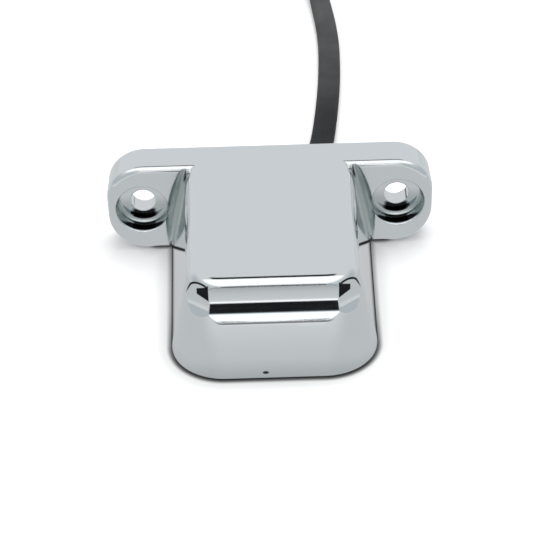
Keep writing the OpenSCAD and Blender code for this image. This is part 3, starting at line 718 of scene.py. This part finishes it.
gap = (outside(corner_x, corner_y, 0.03) - corner_r).math("MINIMUM", outside(22.5, -4) - 2.4)
ahead = depth * -1.0
tint = ahead.step(46, 66).mix((0.44, 0.455, 0.465), (0.62, 0.635, 0.645))
tint = ahead.step(64, 90).mix(tint, (0.70, 0.715, 0.725))
tint = ahead.between(87, 94, 102, 108).mix(tint, (1.2, 1.2, 1.2))
tint = ahead.step(104, 114).mix(tint, (0.012, 0.013, 0.014))
beside = (side - (ahead - 100).math("MAXIMUM", 0.0) * 0.07).step(12, 24)
tint = beside.mix(tint, ahead.step(60, 90).mix((0.59, 0.605, 0.615), (0.72, 0.735, 0.745)))
tint = (1.0 - ahead.step(-10, 4)).mix(tint, (0.66, 0.68, 0.69))
# painted shadow in what the chrome mirrors: the floor turns near-black right round the lamp's foot
tint = (1.0 - gap.step(0.1, 0.8)).mix(tint, (0.02, 0.02, 0.02))
# painted shadow: the table's own colour darkens close round the lamp's foot, most towards its front
shade = ahead.step(25, 46).mix((0.40, 0.40, 0.40), (0.10, 0.10, 0.10))
shade = gap.step(0.0, 1.1).mix(shade, (0.78, 0.78, 0.78))
shade = gap.step(0.6, 4).mix(shade, (0.92, 0.92, 0.92))
distant = length(side, depth - 60).step(160, 300)
open_below = Value(tree, position.outputs["Backfacing"]).math("MAXIMUM", 1.0 - gap.step(-0.7, -0.69))


def either(factor, a, b):
    """Shader a where the factor is 0 and b where it is 1."""
    return Value.node(tree, "ShaderNodeMixShader", sockets={"Fac": factor, 1: a, 2: b}).outputs[0]


path = Value.node(tree, "ShaderNodeLightPath")
diffuse = Value.node(tree, "ShaderNodeBsdfDiffuse", sockets={"Color": shade})
glow = Value.node(tree, "ShaderNodeEmission", sockets={"Color": tint})
white = Value.node(tree, "ShaderNodeEmission")
clear = Value.node(tree, "ShaderNodeBsdfTransparent")
surface = either(distant, diffuse.outputs[0], white.outputs[0])
surface = either(path.outputs["Is Glossy Ray"], surface, glow.outputs[0])
surface = either(open_below, surface, clear.outputs[0])
Value.node(tree, "ShaderNodeOutputMaterial", sockets={"Surface": surface})
mesh.materials.append(material)

# Surroundings: white to the camera and through the lens, and an even pale light on dull surfaces
# The chrome mirrors a darker room instead: dark low in front, a broad soft box over the front,
# a dark strip overhead and a pale backdrop behind, as its reflections in the photograph suggest
world = bpy.data.worlds.new("studio")
bpy.context.scene.world = world
world.use_nodes = True
tree = world.node_tree
tree.nodes.clear()
direction = Value.node(tree, "ShaderNodeTexCoord").outputs["Generated"]
separate = Value.node(tree, "ShaderNodeSeparateXYZ", sockets={0: direction})
front = Value(tree, separate.outputs["Y"]) * -1.0
height = Value(tree, separate.outputs["Z"])
aside = Value(tree, separate.outputs["X"]).math("ABSOLUTE")
degrees = 180 / math.pi
pitch = height.math("ARCTAN2", front) * degrees
turn = aside.math("ARCTAN2", front) * degrees
rise = height.math("ARCSINE") * degrees
dark = (0.012, 0.013, 0.014)
room = rise.step(16, 42).mix((0.50, 0.54, 0.57), (0.72, 0.74, 0.75))
room = turn.step(98, 125).mix(room, (0.72, 0.732, 0.757))
room = turn.between(3, 5, 9, 20).mix(room, (0.64, 0.66, 0.67))
high = 1.0 - (1.0 - rise.step(36, 44)) * turn.step(9, 20)
soft_box = high * pitch.between(15, 17, 79, 83) * (1.0 - turn.step(95, 110))
room = soft_box.mix(room, (1.25, 1.27, 1.28))
gloom = (1.0 - rise.step(12, 16)) * (1.0 - turn.step(3, 4.5))
room = gloom.mix(room, dark)
strip = pitch.between(80, 84, 92, 95) * (1.0 - aside.step(0.3, 0.5))
room = strip.mix(room, dark)
below_horizon = rise.step(-80, -20).mix((0.78, 0.80, 0.81), (0.5, 0.52, 0.53))
room = (1.0 - rise.step(-1, 0)).mix(room, below_horizon)
path = Value.node(tree, "ShaderNodeLightPath")
seen = Value(tree, path.outputs["Is Camera Ray"]).math("MAXIMUM", Value(tree, path.outputs["Is Transmission Ray"]))
final = seen.mix(room, (1.0, 1.0, 1.0))
final = Value(tree, path.outputs["Is Diffuse Ray"]).mix(final, (0.85, 0.85, 0.855))
background = Value.node(tree, "ShaderNodeBackground", sockets={"Color": final})
Value.node(tree, "ShaderNodeOutputWorld", sockets={"Surface": background.outputs[0]})

# Card: a dark arch of card that stands round the camera's lens
# Only mirrors see it, and it gives the chrome in the screw recesses something dark to show
work = bmesh.new()
rail = []
for x in np.linspace(-95, 95, 39):
    rail.append(work.verts.new((x, -262, 157 - 0.5 * abs(x) - 0.0008 * x * x)))
edges = [work.edges.new(pair) for pair in zip(rail, rail[1:])]
upper = bmesh.ops.extrude_edge_only(work, edges=edges)["geom"]
bmesh.ops.translate(work, vec=(0, 0, 26), verts=[g for g in upper if isinstance(g, bmesh.types.BMVert)])
bmesh.ops.scale(work, vec=(MM, MM, MM), verts=work.verts)
mesh = bpy.data.meshes.new("card")
work.to_mesh(mesh)
work.free()
card = bpy.data.objects.new("card", mesh)
bpy.context.scene.collection.objects.link(card)
card.visible_camera = card.visible_diffuse = card.visible_transmission = card.visible_shadow = False
mesh.materials.append(shader("card", (0.01, 0.01, 0.01), roughness=1.0, Specular_IOR_Level=0.0)[0])

# Lamps: a broad soft box high behind on the right, and a weaker one in front
# Neither is mirrored by the chrome
for name, stands, width, power in (("key", (0.1, 0.16, 0.8), 0.6, 3.4), ("fill", (-0.3, -0.45, 0.7), 0.8, 1.2)):
    lamp = bpy.data.lights.new(name, "AREA")
    lamp.shape = "SQUARE"
    lamp.size = width
    lamp.energy = power
    lamp_object = bpy.data.objects.new(name, lamp)
    lamp_object.location = stands
    lamp_object.rotation_euler = (-Vector(stands)).to_track_quat("-Z", "Y").to_euler()
    lamp_object.visible_glossy = False
    bpy.context.scene.collection.objects.link(lamp_object)

bpy.context.scene.view_settings.view_transform = "Standard"
